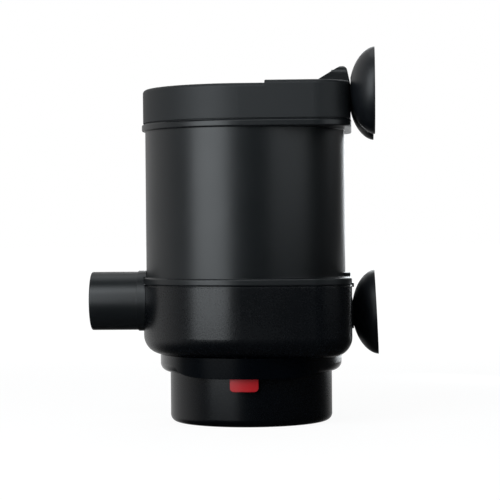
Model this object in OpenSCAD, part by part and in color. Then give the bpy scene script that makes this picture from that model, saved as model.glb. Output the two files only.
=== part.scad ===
// Compact sous vide circulator that hangs inside a pot on three suction cups.
// A sealed pod holds the motor and the electronics, a bowl under it holds the heater
// and the impeller, and a cap under the bowl lets the water in. The nozzle lets it out.
// +Z is up and +X points at the pot's wall. The origin is the middle of the cap's base.
// The motor's axis lies a little in front of the cap's axis.

/* [Pod] */
// Outer radius of the pod's wall
pod_r = 39.8; // [39:0.1:46]
// Thickness of the pod's wall
pod_wall = 2.4; // [1.8:0.1:2.8]
// Height of the pod's wall between its flanges
pod_h = 58; // [57:0.5:80]
// Thickness of the pod's floor, which shows as the lower flange
pod_floor = 2.8; // [2:0.1:4]
// How far the lower flange and the bowl stand out past the pod's wall
band_out = 1.2; // [0.6:0.1:3]
// Height of the upper flange
flange_h = 2.7; // [2:0.1:5]
// How far the upper flange stands out past the pod's wall
flange_out = 1.3; // [0.5:0.1:3]
// Distance that the flat back of the lid and the bowl stands out past the pod's wall
back_out = 2.6; // [1:0.1:6]
// Radius of the rear corners in plan
rear_corner = 14; // [10:0.5:14]
// Radius of the flanges' edges
flange_edge = 0.6; // [0.3:0.1:0.8]
// Height of the grooves where the lid and the bowl meet the pod
groove_h = 0.5; // [0.2:0.1:0.8]
// Depth of those grooves
groove_d = 0.6; // [0.3:0.1:1]
// How far the motor's axis lies in front of the cap's axis
motor_shift = 1.8; // [0:0.1:2]

/* [Lid] */
// Height of the lid's front part
lid_h = 13.8; // [12:0.1:20]
// Thickness of the lid's walls and top
lid_wall = 2.4; // [1.8:0.1:3]
// How far the upper flange stands out past the lid at the front
lid_reveal = 0.5; // [0:0.1:1]
// Radius of the lid's upper edges
lid_edge = 1.5; // [0.5:0.1:2]
// Height of the raised rear deck
deck_h = 1.1; // [0.5:0.1:3]
// Distance from the motor's axis back to the deck's front edge
deck_x = 9.8; // [4:0.1:10]

/* [Display and keys] */
// Length of the display lens along X
lens_x = 18; // [12:0.5:20]
// Width of the display lens along Y
lens_y = 34; // [20:0.5:38]
// Thickness of the display lens
lens_t = 1.4; // [1:0.1:1.8]
// Radius of the keys
key_r = 4.6; // [3:0.1:5.5]
// Distance between the middles of the keys
key_pitch = 16; // [13.5:0.5:18]
// How far a key travels
key_travel = 0.8; // [0.4:0.1:1.2]
// How far a key stands out of the deck
key_proud = 0.3; // [0.1:0.1:1]

/* [Cord hood] */
// Width of the cord hood
hood_w = 18; // [14:0.5:24]
// Height of the cord hood over the deck
hood_h = 7.5; // [7.2:0.1:12]
// Length of the cord hood's foot
hood_l = 16.5; // [16:0.5:20]
// Radius of the cord that the grommet takes
cord_r = 2.5; // [2:0.1:2.6]

/* [Suction cups] */
// Radius of a suction cup's lip
cup_r = 16.8; // [14:0.1:19]
// Depth of a suction cup from its stem's face to its lip
cup_depth = 9.3; // [7:0.1:12]
// Radius of the flat crown round a suction cup's stem
cup_crown_r = 5; // [4:0.1:6]
// Width of the flat ring at a suction cup's lip
cup_lip = 1; // [0.6:0.1:1.5]
// Distance between the axes of the two upper suction cups
cup_spacing = 51.2; // [46:0.2:56]
// Drop from the deck's top to the upper suction cups' axes
cup_drop = 3.6; // [3.5:0.1:6]
// Height of the lower suction cup's axis over the base
lower_cup_z = 42.6; // [41:0.1:45]
// Tilt of the lower suction cup, its lower edge outwards
lower_cup_tilt = 2.6; // [0:0.1:5]
// How far the lower suction cup's pad stands out of the bowl
pad_proud = 0.4; // [0.4:0.1:2]
// Radius of a suction cup's stem
stem_r = 2.2; // [1.5:0.1:2.4]
// Radius of the bulb at the stem's end
bulb_r = 2.7; // [2.5:0.1:2.8]
// Length of the stem between the crown and the bulb
stem_l = 2.6; // [2:0.1:3]

/* [Pump bowl] */
// Height of the bowl
bowl_h = 27.7; // [27:0.1:36]
// Thickness of the bowl's wall
bowl_wall = 2.4; // [2:0.1:2.8]
// Thickness of the bowl's floor
bowl_floor = 3; // [2.6:0.1:4]
// Radius of the bowl's lower edge
bowl_corner = 7.5; // [4:0.5:7.5]

/* [Outlet] */
// Outer radius of the outlet nozzle
nozzle_r = 11.7; // [10:0.1:12]
// Wall thickness of the outlet nozzle
nozzle_wall = 2.5; // [2:0.1:3]
// Distance from the motor's axis to the nozzle's mouth
nozzle_reach = 62; // [56:0.5:80]
// Drop from the bowl's rim to the nozzle's axis
nozzle_drop = 6.7; // [5:0.1:8]
// Height of the shoulder at the nozzle's root over its tube
root_out = 0.4; // [0.2:0.1:1]
// Length of that shoulder
root_l = 2; // [1:0.1:4]
// Radius of the edge at the nozzle's mouth
mouth_edge = 0.6; // [0.2:0.1:1]
// How far the bowl's port lies below the nozzle's axis
port_drop = 2.8; // [2:0.1:3.2]
// Radius of the water's way through the bowl's wall
port_r = 5.4; // [4:0.1:5.4]

/* [Collar and flow slider] */
// Height of the collar at its sides
collar_h = 6.9; // [6.5:0.1:9]
// Thickness of the collar's wall
collar_wall = 1.8; // [1.8:0.1:3]
// Radius of the collar's lower edge
collar_corner = 3.4; // [1:0.1:3.5]
// Thickness of the ledge that carries the slider's ring
ledge_t = 1; // [0.8:0.1:1.4]
// How far the collar's skirt dips over the slider's tab
skirt_drop = 1.1; // [0.3:0.1:2]
// Half the angle that the skirt spans
skirt_half_angle = 53; // [42:1:60]
// Thickness of the slider's ring and tab
slider_t = 1.5; // [1.2:0.1:2]
// Width of the slider's tab
tab_w = 11; // [8:0.5:14]
// How far the tab shows below the skirt
tab_reach = 5; // [2:0.1:8]
// How far the slider turns to each side
slider_turn = 22; // [10:1:22.5]
// How far the tab sits round from the front, towards the nozzle
tab_turn = 1.7; // [0:0.1:4]

/* [Intake cap] */
// Outer radius of the cap
cap_r = 32.3; // [30:0.1:33]
// Height of the cap
cap_h = 27; // [25:0.5:40]
// Thickness of the cap's wall and floor
cap_wall = 2.2; // [1.8:0.1:2.6]
// Radius of the cap's lower edge
cap_corner = 2.8; // [1:0.1:4]
// Number of slots in the cap's floor
slot_count = 16; // [8:1:18]
// Width of a slot in the cap's floor
slot_w = 2.4; // [1:0.1:2.8]

/* [Motor] */
// Radius of the rotor magnet
magnet_r = 10.2; // [8:0.1:11]
// Length of the rotor magnet
magnet_h = 26; // [20:0.5:28]
// Gap between the rotor magnet and its can
magnet_gap = 1; // [0.5:0.1:1.4]
// Wall thickness of the can
can_wall = 0.8; // [0.6:0.1:1.2]
// Height of the stator core
core_h = 22; // [16:0.5:24]
// Gap between the stator core and the bosses round it
core_gap = 0.8; // [0.4:0.1:2]
// Radial thickness of the stator core's rim
core_rim = 4.5; // [3:0.1:5]
// Width of a stator tooth
tooth_w = 5; // [3:0.1:5.5]
// Thickness of the winding round a tooth
coil_t = 2.2; // [1:0.1:2.3]
// Radius of the shaft
shaft_r = 2; // [1.5:0.1:2.5]
// Gap between the impeller and the columns round it
impeller_gap = 2; // [1:0.1:4]
// Height of the impeller's vanes
vane_h = 7; // [4:0.1:7.5]
// Number of impeller vanes
vane_count = 6; // [3:1:8]

/* [Heater and sensors] */
// Distance from the bowl's inner wall to the middle of the heater's tube
heater_gap = 8.6; // [8.2:0.1:9]
// Radius of the heater's tube
heater_tube_r = 2.6; // [2:0.1:2.8]
// Rise between the heater's two turns
heater_pitch = 7; // [6.5:0.1:8]
// Radius of the temperature probe
probe_r = 1.8; // [1:0.1:2]
// Height of the probe's tip over the base
probe_tip_z = 12; // [6:0.5:18]

/* [Fasteners and fits] */
// Radius of the screws' shanks
screw_r = 1.5; // [1.2:0.1:1.6]
// Radius of the screws' heads
screw_head_r = 2.8; // [2.4:0.1:2.9]
// Height of the screws' heads
screw_head_h = 2; // [1.5:0.1:2.2]
// Gap on each side between parts that seat or slide together
fit_gap = 0.2; // [0.1:0.05:0.25]
// Gap on each side of parts that move past others
run_gap = 0.3; // [0.2:0.05:0.35]
// Radial clearance of the shaft in its bearings
shaft_gap = 0.05; // [0.02:0.01:0.09]

/* [Hidden] */

$fn = 96;
eps = 0.01;
snug = 0.02;
seam = 0.05;

// Colours
shell_black = [0.13, 0.14, 0.15];
bowl_black = [0.10, 0.11, 0.12];
rubber_black = [0.06, 0.06, 0.07];
tab_red = [0.63, 0.11, 0.14];
steel = [0.72, 0.73, 0.75];
copper = [0.72, 0.42, 0.25];
board_green = [0.10, 0.34, 0.20];

// Radii that follow from others
pod_ir = pod_r - pod_wall;
band_r = pod_r + band_out;
bowl_ir = band_r - bowl_wall;
flange_r = pod_r + flange_out;
lid_r = flange_r - lid_reveal;
back_x = pod_r + back_out;
cap_ir = cap_r - cap_wall;
cap_corner_in = max(cap_corner - cap_wall, 0.4);
slider_ir = cap_r + run_gap;
slider_r = slider_ir + slider_t;
collar_ir = slider_r + run_gap;
collar_r = collar_ir + collar_wall;
can_ir = magnet_r + magnet_gap;
can_r = can_ir + can_wall;

// Heights, from the base up
bowl_z = cap_h;
bowl_floor_z = bowl_z + bowl_floor;
pod_z = bowl_z + bowl_h;
wall_z = pod_z + pod_floor;
flange_z = wall_z + pod_h;
lid_z = flange_z + flange_h;
lid_top = lid_z + lid_h;
deck_top = lid_top + deck_h;
lid_ceiling = lid_top - lid_wall;
nozzle_z = pod_z - nozzle_drop;
port_z = nozzle_z - port_drop;
stub_r = port_r + 1.6;
upper_cup_z = deck_top - cup_drop;

// Collar and slider
collar_z = bowl_z - collar_h;
ledge_ir = cap_r + run_gap;
collar_round = min(collar_corner, collar_r - ledge_ir);
ring_z = collar_z + ledge_t + fit_gap;
ring_top = bowl_z - fit_gap;
skirt_z = collar_z - skirt_drop;
tab_z = skirt_z - tab_reach;
tab_half_angle = asin(tab_w / 2 / slider_r);
window_angle = 45;
window_z = ring_z + 0.8;
window_h = ring_top - ring_z - 1.6;
lug_half_angle = 4;
lug_out = 0.8;
lug_z = ring_z + 1.6;
pin_r = 0.7;
pin_l = 1.8;
pin_angles = [for (i = [0:5]) 30 + 60 * i];

// Spigot under the bowl that the cap pushes onto
spigot_r = cap_ir - fit_gap;
spigot_ir = spigot_r - 2;
spigot_h = bowl_z - ring_z + 3.2;
spigot_z = bowl_z - spigot_h;
seal_r = 0.7;

// Screws: the lid's four, and the four that hold the bowl to the pod
screw_gap = 0.05;
lug_w = 16;
lug_h = 1.4;
catch_w = 10;
catch_h = 1.6;
catch_out = 0.8;
boss_r = screw_head_r + fit_gap + 1;
lid_screw_circle = pod_ir - fit_gap - boss_r;
pod_boss_r = boss_r + 2 * fit_gap;
lid_boss_z = lid_z - 4.6;
lid_screw_seat = lid_top - screw_head_h - 0.8;
lid_screw_l = 22;
pocket_front = 18;
heater_r = bowl_ir - heater_gap;
column_r = 3.3;
column_gap = 1.3;
bowl_screw_circle = heater_r - heater_tube_r - column_gap - column_r;
bowl_screw_l = bowl_h + pod_floor + 1;
nut_boss_h = 5;
nut_boss_r = 3.8;
screw_angles = [45, 135, 225, 315];

// Motor stack, from the nut bosses up
washer_t = 0.8;
play = 0.2;
coil_over = 2.5;
core_z = wall_z + nut_boss_h + 0.5 + coil_over;
magnet_z = core_z + core_h / 2 - magnet_h / 2;
lower_bearing_h = 5;
upper_bearing_h = 4;
lower_bearing_z = magnet_z - play - washer_t - lower_bearing_h;
upper_bearing_z = magnet_z + magnet_h + play + washer_t;
can_flange_r = bowl_screw_circle - column_r - 0.5;
can_flange_t = 1.6;
can_ceiling = upper_bearing_z + upper_bearing_h + fit_gap;
can_top = can_ceiling + 1.2;
bearing_r = can_ir - snug;
washer_r = 5;
tooth_count = 6;
tooth_ir = can_r + fit_gap;
core_r = lid_screw_circle - pod_boss_r - core_gap;
post_r = 2;
post_circle = core_r - post_r - 0.6;
post_angles = [0, 120, 240];
shaft_top = upper_bearing_z + upper_bearing_h - 0.5;

// Impeller, hung under the lower bearing
impeller_r = bowl_screw_circle - column_r - impeller_gap;
vane_z = nozzle_z - vane_h + 1;
plate_z = vane_z + vane_h;
plate_t = 1.5;
hub_r = 4;
hub_z = vane_z - 1;
eye_top = vane_z - 0.8;
eye_r = 6.5;
eye_wall = 2;
eye_flange_r = 16;
eye_flange_t = 2;
eye_hole_r = 12;

// Electronics
board_t = 1.6;
board_z = can_top + 3;
board_ledge = 2.4;
control_z = lid_ceiling - 7.6;
control_r = lid_r - lid_wall - 3;
stand_r = 2.2;
lens_cx = -16;
key_cx = 15.5;
key_seat = lid_ceiling - 0.1;
key_lip_t = 1;
key_lip = 0.9;
switch_top = key_seat - key_lip_t - 2 - key_travel - 0.2;

driver_size = [18, 16, 9];
relay_size = [16, 12, 9.5];
big_capacitor = [5.5, 9];
small_capacitor = [4, 8];
plug_size = [10, 8, 6];
cutout_r = 5.5;
cutout_h = 3.4;
cutout_gap = 2.5;

// Heater, with its legs at the back of the bowl
heater_leg_r = heater_tube_r + 0.4;
heater_z = bowl_floor_z + heater_leg_r + 0.3;
heater_leg_angles = [12, 32];
heater_top = wall_z + 4.5;
seal_wall = 1.2;

// Cord hood over the rear of the deck
hood_back = back_x;
hood_apex_r = 2.2;
hood_apex = 3.4;
grommet_wall = 0.6;
grommet_l = 5;
grommet_sink = 2.6;
duct_r = cord_r + 0.3;
grommet_z = deck_top + cord_r + grommet_wall + 0.35;

// Bulb sockets of the suction cups
socket_gap = 0.12;
socket_r = bulb_r + socket_gap;
bulb_l = 2.4;
socket_depth = stem_l + bulb_l + 0.5;
socket_boss_r = socket_r + 2;

// ---------- shared shapes ----------

// Moves its children onto the motor's axis
module on_motor_axis() translate([-motor_shift, 0, 0]) children();

// A straight tube standing on height z
module tube(z, h, r_out, r_in) translate([0, 0, z])
    rotate_extrude() translate([r_in, 0]) square([r_out - r_in, h]);

// A disc or rod standing on height z
module rod(z, h, r) translate([0, 0, z]) cylinder(r = r, h = h);

// A round seal lying at height z
module o_ring(z, ring_r, cord) translate([0, 0, z])
    rotate_extrude() translate([ring_r, 0]) circle(r = cord, $fn = 32);

// Copies its children to the given angles on a circle
module around(circle_r, angles) for (a = angles) rotate(a) translate([circle_r, 0, 0]) children();

// Part of a ring between two angles, as a solid standing on height z
module ring_part(z, h, r_in, r_out, from, to) translate([0, 0, z])
    rotate(from) rotate_extrude(angle = to - from) translate([r_in, 0]) square([r_out - r_in, h]);

// Half of an upright section whose upper outer corner is round
module edge_half(w, h, f) {
    square([w - f, h]);
    square([w, h - f]);
    translate([w - f, h - f]) intersection() {
        circle(r = f, $fn = 48);
        square(f);
    }
}

// Plan that is round in front and flat at the back
module d_plan(r, back, corner) {
    circle(r = r);
    translate([0, -r]) square([back - corner, 2 * r]);
    translate([0, corner - r]) square([back, 2 * (r - corner)]);
    for (s = [-1, 1]) translate([back - corner, s * (r - corner)]) circle(r = corner);
}

// The same plan raised to height h, with its upper edge rounded all round
module d_block(r, back, corner, h, f) {
    rotate_extrude() edge_half(r, h, f);
    for (s = [-1, 1]) translate([back - corner, s * (r - corner), 0])
        rotate_extrude() edge_half(corner, h, f);
    rotate([90, 0, 90]) linear_extrude(back - corner) {
        edge_half(r, h, f);
        mirror([1, 0]) edge_half(r, h, f);
    }
    translate([0, r - corner, 0]) rotate([90, 0, 0])
        linear_extrude(2 * (r - corner)) edge_half(back, h, f);
}

// A slab with that plan, its upper and lower edges both rounded
module d_slab(r, back, corner, h, f) translate([0, 0, h / 2]) for (m = [0, 1])
    mirror([0, 0, m]) d_block(r, back, corner, h / 2, f);

// Flat plate with round corners, centred in plan
module plate(x, y, h, corner) linear_extrude(h) {
    square([x - 2 * corner, y], center = true);
    square([x, y - 2 * corner], center = true);
    for (sx = [-1, 1], sy = [-1, 1])
        translate([sx * (x / 2 - corner), sy * (y / 2 - corner)]) circle(r = corner, $fn = 32);
}

// Screw pointing down from its head's seat at height z
module screw(z, l) {
    rod(z - l, l + eps, screw_r);
    difference() {
        rod(z, screw_head_h, screw_head_r);
        translate([0, 0, z + screw_head_h / 2]) cylinder(r = screw_head_r / 2, h = screw_head_h, $fn = 6);
    }
}

// ---------- suction cups ----------

// Radius of the dome at the share t of its depth
function dome_r(t) = sqrt(pow(cup_crown_r, 2)
    + (pow(cup_r, 2) - pow(cup_crown_r, 2)) * (1 - pow(1 - t, 1.75)));

module suction_cup() color(rubber_black) rotate([0, 90, 0]) {
    hollow_r = cup_r - cup_lip;
    hollow_d = 0.28 * cup_depth;
    rotate_extrude() polygon(concat(
        [[0, 0], [cup_crown_r, 0]],
        [for (i = [1:18]) let (t = i / 18) [dome_r(t), cup_depth * t]],
        [for (i = [12:-1:0]) let (u = i / 12)
            [hollow_r * u, hollow_d + (cup_depth - hollow_d) * pow(u, 2.2)]]));
    rod(-stem_l - eps, stem_l + 2 * eps, stem_r);
    translate([0, 0, -stem_l - bulb_l]) rotate_extrude() edge_half(bulb_r, bulb_l, 0.6);
}

// Space in a wall for a cup's stem and bulb, whose mouth is at the origin
module cup_socket() rotate([0, -90, 0]) {
    rod(-1, stem_l + 1 + eps, stem_r + socket_gap);
    rod(stem_l - 0.05, socket_depth - stem_l, socket_r);
}

module at_upper_cup(side)
    translate([back_x - motor_shift, side * cup_spacing / 2, upper_cup_z]) children();

// The lower cup's seat is a pad that stands a little proud of the bowl
pad_x = back_x + pad_proud - motor_shift;
module at_lower_cup() translate([pad_x, 0, lower_cup_z]) rotate([0, -lower_cup_tilt, 0]) children();

module cup_upper_left() at_upper_cup(1) suction_cup();
module cup_upper_right() at_upper_cup(-1) suction_cup();
module cup_lower() at_lower_cup() suction_cup();

// ---------- pod ----------

module pod_housing() color(shell_black) on_motor_axis() difference() {
    union() {
        difference() {
            union() {
                rod(wall_z - eps, pod_h + eps, pod_r);
                translate([0, 0, flange_z])
                    d_slab(flange_r, back_x + lid_reveal / 2, rear_corner, flange_h, flange_edge);
            }
            rod(wall_z - 1, pod_h + flange_h + 2, pod_ir);
        }
        translate([0, 0, pod_z]) d_slab(band_r, back_x, rear_corner, pod_floor, flange_edge);
        // Lug at the rear, which the bowl's catch holds on to
        translate([pod_r - 2, -lug_w / 2, wall_z - eps])
            cube([back_x - pod_r + 2 - flange_edge, lug_w, lug_h]);
        // Register that drops into the bowl
        tube(pod_z - 2, 2 + eps, bowl_ir - fit_gap, bowl_ir - fit_gap - 2);
        around(bowl_screw_circle, screw_angles) rod(wall_z - eps, nut_boss_h, nut_boss_r);
        around(post_circle, post_angles) rod(wall_z - eps, core_z - wall_z + eps, post_r);
        around(lid_screw_circle, screw_angles)
            rod(wall_z - eps, lid_boss_z - wall_z + eps, pod_boss_r);
        // Ledge that carries the power board
        translate([0, 0, board_z]) rotate_extrude() polygon([[pod_ir + eps, 0],
            [pod_ir - board_ledge, 0], [pod_ir - board_ledge, -1], [pod_ir + eps, -1 - board_ledge]]);
    }
    rod(pod_z - 1, pod_floor + 2, can_r + snug);
    around(bowl_screw_circle, screw_angles) rod(pod_z - 1, pod_floor + nut_boss_h + 2, screw_r + screw_gap);
    around(lid_screw_circle, screw_angles)
        rod(lid_screw_seat - lid_screw_l - 2, lid_screw_l, screw_r + screw_gap);
    around(heater_r, heater_leg_angles)
        rod(pod_z - 1, pod_floor + 2, heater_leg_r + seal_wall + snug);
    around(bowl_screw_circle, [90]) rod(pod_z - 1, pod_floor + 2, probe_r + snug);
    // Groove for the bowl's seal
    o_ring(pod_z - 1, bowl_ir - fit_gap - 0.3, seal_r + snug);
}

// ---------- lid ----------

module top_lid() color(shell_black) on_motor_axis() difference() {
    union() {
        difference() {
            translate([0, 0, lid_z + groove_h]) {
                translate([0, 0, -groove_h]) linear_extrude(groove_h + eps)
                    d_plan(lid_r - groove_d, back_x - groove_d, rear_corner - groove_d);
                d_block(lid_r, back_x, rear_corner, lid_h - groove_h, lid_edge);
                intersection() {
                    d_block(lid_r, back_x, rear_corner, lid_h - groove_h + deck_h, lid_edge);
                    translate([2 * back_x, back_x, 0]) rotate([90, 0, 0])
                        linear_extrude(2 * back_x) mirror([1, 0])
                            edge_half(2 * back_x - deck_x, lid_h - groove_h + deck_h, deck_h / 2);
                }
            }
            translate([0, 0, lid_z - 1]) linear_extrude(lid_ceiling - lid_z + 1)
                d_plan(lid_r - lid_wall, back_x - lid_wall, rear_corner - lid_wall);
        }
        // Spigot that drops into the pod
        tube(lid_z - 4, 4 + eps, pod_ir - fit_gap, pod_ir - fit_gap - 2.2);
        tube(lid_z, 1.2, lid_r - lid_wall + eps, pod_ir - fit_gap - 2.2);
        around(lid_screw_circle, screw_angles) rod(lid_boss_z, lid_ceiling - lid_boss_z + eps, boss_r);
        around(control_r - 6, [0, 90, 180, 270])
            rod(control_z + board_t, lid_ceiling - control_z - board_t + eps, stand_r);
        for (side = [-1, 1]) intersection() {
            translate([back_x - socket_depth - 1.2, side * cup_spacing / 2, upper_cup_z])
                rotate([0, 90, 0]) rod(0, socket_depth + 0.6, socket_boss_r);
            rod(lid_z, lid_ceiling - lid_z + eps, 2 * back_x);
        }
    }
    around(lid_screw_circle, screw_angles) {
        rod(lid_boss_z - 1, lid_top, screw_r + screw_gap);
        rod(lid_screw_seat, lid_top, screw_head_r + fit_gap);
    }
    for (side = [-1, 1])
        translate([back_x, side * cup_spacing / 2, upper_cup_z]) cup_socket();
    translate([lens_cx, 0, lid_top - lens_t]) plate(lens_x + 2 * fit_gap, lens_y + 2 * fit_gap, 5, 3);
    translate([lens_cx, 0, lid_ceiling - 1]) plate(lens_x - 4, lens_y - 4, 5, 2);
    for (i = [-1, 0, 1]) translate([key_cx, i * key_pitch, 0])
        rod(lid_ceiling - 1, 10, key_r + fit_gap);
    // Way in for the cord, under the hood
    translate([hood_back - hood_l / 2, 0, 0]) rod(lid_ceiling - 1, 10, duct_r);
    // Groove for the lid's seal
    o_ring(lid_z - 2.2, pod_ir - fit_gap - 0.4, seal_r + snug);
}

module lid_seal() color(rubber_black) on_motor_axis()
    o_ring(lid_z - 2.2, pod_ir - fit_gap - 0.4, min(seal_r, fit_gap + 0.4 - snug));

module lid_screws() color(steel) on_motor_axis()
    around(lid_screw_circle, screw_angles) screw(lid_screw_seat, lid_screw_l);

module display_lens() color("black") on_motor_axis()
    translate([lens_cx, 0, lid_top - lens_t]) plate(lens_x, lens_y, lens_t, 3);

module display_module() color([0.2, 0.2, 0.22]) on_motor_axis()
    translate([lens_cx, 0, control_z + board_t])
        plate(lens_x - 5, lens_y - 5, lid_top - lens_t - 0.4 - control_z - board_t, 1);

module control_board() color(board_green) on_motor_axis() difference() {
    rod(control_z, board_t, control_r);
    around(lid_screw_circle, screw_angles) rod(control_z - 1, board_t + 2, boss_r + 0.3);
}

module key_switches() color(steel) on_motor_axis()
    for (i = [-1, 0, 1]) translate([key_cx, i * key_pitch, control_z + board_t]) {
        plate(6, 6, switch_top - 0.6 - control_z - board_t, 0.5);
        rod(0, switch_top - control_z - board_t, 1.7);
    }

// A key: a cap in its well, a lip under the lid and a stem over its switch
module key(i) color(shell_black) on_motor_axis() translate([key_cx, i * key_pitch, 0]) {
    stem_z = switch_top + key_travel + 0.2;
    translate([0, 0, key_seat - eps]) rotate_extrude()
        edge_half(key_r, deck_top + key_proud - key_seat + eps, 0.5);
    rod(key_seat - key_lip_t, key_lip_t, key_r + key_lip);
    rod(stem_z, key_seat - key_lip_t - stem_z + eps, 1.5);
}
module key_minus() key(-1);
module key_power() key(0);
module key_plus() key(1);

// ---------- cord hood ----------

module cord_hood() color(shell_black) on_motor_axis() {
    difference() {
        intersection() {
            translate([0, hood_w / 2, deck_top]) rotate([90, 0, 0]) linear_extrude(hood_w) hull() {
                translate([hood_back - hood_l, 0]) square([hood_l, eps]);
                translate([hood_back - hood_apex, hood_h - hood_apex_r]) circle(r = hood_apex_r, $fn = 32);
            }
            translate([hood_back - hood_l - 1, 0, deck_top]) rotate([90, 0, 90])
                linear_extrude(hood_l + 2) {
                    edge_half(hood_w / 2, hood_h, 3);
                    mirror([1, 0]) edge_half(hood_w / 2, hood_h, 3);
                }
        }
        at_grommet() rod(-grommet_sink - grommet_l, 20, cord_r + grommet_wall + snug);
        at_grommet() rod(-hood_l / 2, 20, duct_r);
        translate([hood_back - hood_l / 2, 0, 0]) rod(deck_top - 1, grommet_z - deck_top + 1, duct_r);
    }
}

// The grommet lies level, its mouth sunk into the hood's rear face
module at_grommet() translate([hood_back, 0, grommet_z]) rotate([0, 90, 0]) children();

module cord_grommet() color(rubber_black) on_motor_axis() at_grommet()
    tube(-grommet_sink - grommet_l, grommet_l, cord_r + grommet_wall, cord_r);

// ---------- electronics and motor, inside the pod ----------

module power_board() color(board_green) on_motor_axis() difference() {
    rod(board_z, board_t, pod_ir - 2 * fit_gap);
    around(lid_screw_circle, screw_angles) rod(board_z - 1, board_t + 2, pod_boss_r + 0.3);
}

// Places on the power board are counted inwards from the bosses at its corners
module power_parts() color([0.15, 0.2, 0.45]) on_motor_axis() translate([0, 0, board_z + board_t]) {
    s = lid_screw_circle / sqrt(2);
    translate([10.5 - s, s - 14.5, 0]) plate(driver_size.x, driver_size.y, driver_size.z, 1);
    translate([s - 11.5, s - 11.5, 0]) plate(relay_size.x, relay_size.y, relay_size.z, 1);
    translate([s - 9.5, 10.5 - s, 0]) cylinder(r = big_capacitor.x, h = big_capacitor.y);
    translate([0, 5.5 - s, 0]) cylinder(r = small_capacitor.x, h = small_capacitor.y);
    translate([5.5 - s, 13.5 - s, 0]) plate(plug_size.x, plug_size.y, plug_size.z, 0.8);
}

module motor_can() color([0.8, 0.8, 0.78]) on_motor_axis() difference() {
    union() {
        rod(pod_z - can_flange_t, can_flange_t, can_flange_r);
        rod(pod_z - eps, can_top - pod_z + eps, can_r);
    }
    rod(pod_z - can_flange_t - 1, can_ceiling - pod_z + can_flange_t + 1, can_ir);
}

module stator_core() color([0.5, 0.5, 0.52]) on_motor_axis() {
    tube(core_z, core_h, core_r, core_r - core_rim);
    difference() {
        around(0, [for (i = [0:tooth_count - 1]) i * 360 / tooth_count])
            translate([0, -tooth_w / 2, core_z]) cube([core_r - core_rim / 2, tooth_w, core_h]);
        rod(core_z - 1, core_h + 2, tooth_ir);
    }
}

module stator_coils() color(copper) on_motor_axis()
    around(0, [for (i = [0:tooth_count - 1]) i * 360 / tooth_count]) {
        inner = tooth_ir + 2.2;
        outer = sqrt(pow(core_r - core_rim - 0.3, 2) - pow(tooth_w / 2 + coil_t, 2));
        translate([(inner + outer) / 2, 0, core_z + core_h / 2]) difference() {
            cube([outer - inner, tooth_w + 2 * coil_t, core_h + 2 * coil_over], center = true);
            cube([outer, tooth_w + 2 * snug, core_h + 2 * snug], center = true);
        }
    }

module bearing(z, h) color([0.25, 0.25, 0.27]) on_motor_axis() tube(z, h, bearing_r, shaft_r + shaft_gap);
module upper_bearing() bearing(upper_bearing_z, upper_bearing_h);
module lower_bearing() bearing(lower_bearing_z, lower_bearing_h);

module thrust_washers() color([0.9, 0.9, 0.85]) on_motor_axis()
    for (z = [lower_bearing_z + lower_bearing_h, upper_bearing_z - washer_t])
        tube(z, washer_t, washer_r, shaft_r + shaft_gap);

module rotor_magnet() color([0.3, 0.3, 0.32]) on_motor_axis()
    tube(magnet_z, magnet_h, magnet_r, shaft_r + snug);

module shaft() color(steel) on_motor_axis() rod(hub_z, shaft_top - hub_z, shaft_r);

module impeller() color([0.85, 0.85, 0.82]) on_motor_axis() {
    tube(hub_z, lower_bearing_z - run_gap - hub_z, hub_r, shaft_r + snug);
    tube(plate_z - eps, plate_t, impeller_r, hub_r - eps);
    // Vanes: arcs that curve back from the hub to the rim
    intersection() {
        tube(vane_z, vane_h, impeller_r, hub_r - eps);
        for (i = [0:vane_count - 1]) rotate(i * 360 / vane_count)
            translate([0, impeller_r * 0.55, 0])
                tube(vane_z, vane_h, impeller_r * 0.55 + 0.7, impeller_r * 0.55 - 0.7);
    }
}

module thermal_cutout() color([0.75, 0.75, 0.7]) on_motor_axis()
    rotate(-22) translate([pod_ir - cutout_r - cutout_gap, 0, 0]) {
        rod(wall_z, cutout_h, cutout_r);
        rod(wall_z + cutout_h - eps, cutout_h / 2, cutout_r - 1.5);
    }

// ---------- heater and sensor ----------

// Two open turns, one above the other, joined at one end, with a leg up from each free end
module heater_coil() color(steel) on_motor_axis() {
    last = 348;
    levels = [heater_z, heater_z + heater_pitch];
    for (i = [0, 1]) {
        translate([0, 0, levels[i]]) rotate(heater_leg_angles[i])
            rotate_extrude(angle = last - heater_leg_angles[i])
                translate([heater_r, 0]) circle(r = heater_tube_r, $fn = 32);
        around(heater_r, [heater_leg_angles[i]])
            rod(levels[i] - heater_leg_r, heater_top - levels[i] + heater_leg_r, heater_leg_r);
    }
    around(heater_r, [last]) rod(heater_z - heater_leg_r, heater_pitch + 2 * heater_leg_r, heater_leg_r);
}

module heater_seals() color(rubber_black) on_motor_axis() around(heater_r, heater_leg_angles)
    tube(pod_z, pod_floor, heater_leg_r + seal_wall, heater_leg_r + snug);

module temperature_probe() color(steel) on_motor_axis() around(bowl_screw_circle, [90]) {
    rod(probe_tip_z + probe_r, wall_z + 5 - probe_tip_z - probe_r, probe_r);
    translate([0, 0, probe_tip_z + probe_r]) sphere(r = probe_r);
    rod(wall_z, 3, probe_r + 1.2);
}

// ---------- bowl ----------

// Outside of the bowl: flat at the back like the lid, with a groove under the pod's flange
module bowl_outside() {
    translate([0, 0, pod_z - groove_h]) mirror([0, 0, 1])
        d_block(band_r, back_x, rear_corner, bowl_h - groove_h, bowl_corner);
    translate([0, 0, pod_z - groove_h - eps]) linear_extrude(groove_h + eps)
        d_plan(band_r - groove_d, back_x - groove_d, rear_corner - groove_d);
}

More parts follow.
